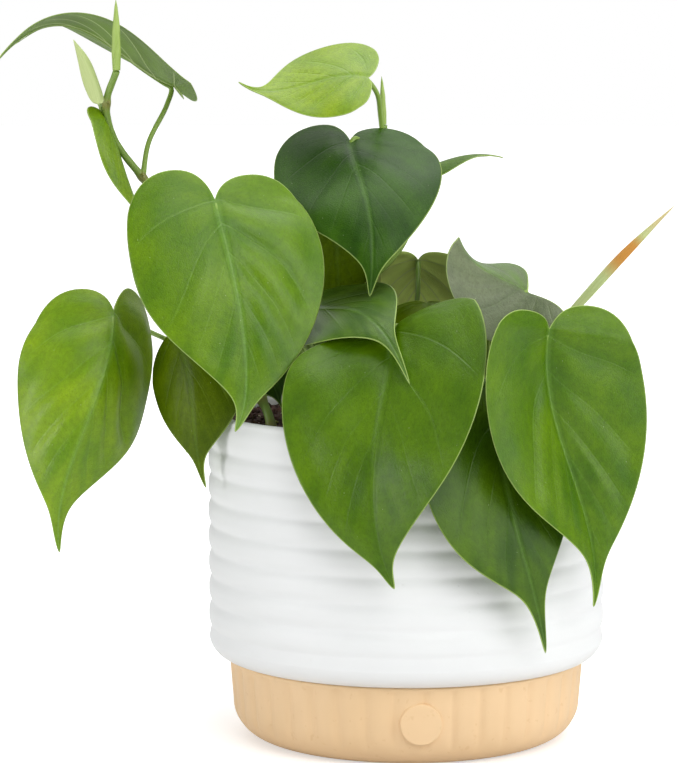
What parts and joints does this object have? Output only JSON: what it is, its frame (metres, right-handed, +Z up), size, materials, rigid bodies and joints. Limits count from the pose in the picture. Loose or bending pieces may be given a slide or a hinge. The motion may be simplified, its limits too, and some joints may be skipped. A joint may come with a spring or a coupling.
{
  "type": "potted plant",
  "caption": "Trailing heartleaf house plant with broad drooping leaves in a ribbed round pot that stands in a low fluted base.",
  "frame": {"origin": "centre of the base's flat underside, on the pot's axis", "axes": "+Z up along the pot's axis, +X to the right as seen from the front, the front of the plant towards -Y"},
  "size_m": [0.2728, 0.2087, 0.2975],
  "materials": {
    "pot_glaze": "white glaze, matt to satin",
    "base_glaze": "tan glaze, matt",
    "soil": "damp dark potting soil",
    "vine": "green vine skin, satin",
    "leaf": "waxy green leaf, satin",
    "young_leaf": "young lime leaf, glossy",
    "sheath": "thin pale papery sheath"
  },
  "bodies": {
    "root": {"pot": "pot_glaze", "base": "base_glaze", "soil": "soil", "vine_tall_left": "vine", "vine_low_left": "vine", "vine_tall_centre": "vine", "vine_front": "vine", "vine_right": "vine", "vine_back": "vine", "vine_back_left": "vine", "leaf_front_left": "leaf", "leaf_far_left": "leaf", "leaf_low_left": "leaf", "leaf_small_low": "leaf", "leaf_top_left": "leaf", "leaf_edge_left": "leaf", "leaf_top_centre": "leaf", "leaf_young_top": "young_leaf", "leaf_behind_top": "leaf", "leaf_rolled_back": "leaf", "leaf_drooping": "leaf", "leaf_front_centre": "leaf", "leaf_low_right": "leaf", "leaf_front_right": "leaf", "leaf_folded_right": "leaf", "leaf_turned_away": "leaf", "leaf_shaded": "leaf", "leaf_back_top": "leaf", "leaf_back_centre": "leaf", "leaf_back_right": "leaf", "leaf_back_left": "leaf", "leaf_side_left": "leaf", "leaf_side_right": "leaf", "spear_left": "vine", "spear_centre": "vine", "sheath_left": "sheath", "sheath_right": "sheath"}
  },
  "joints": []
}
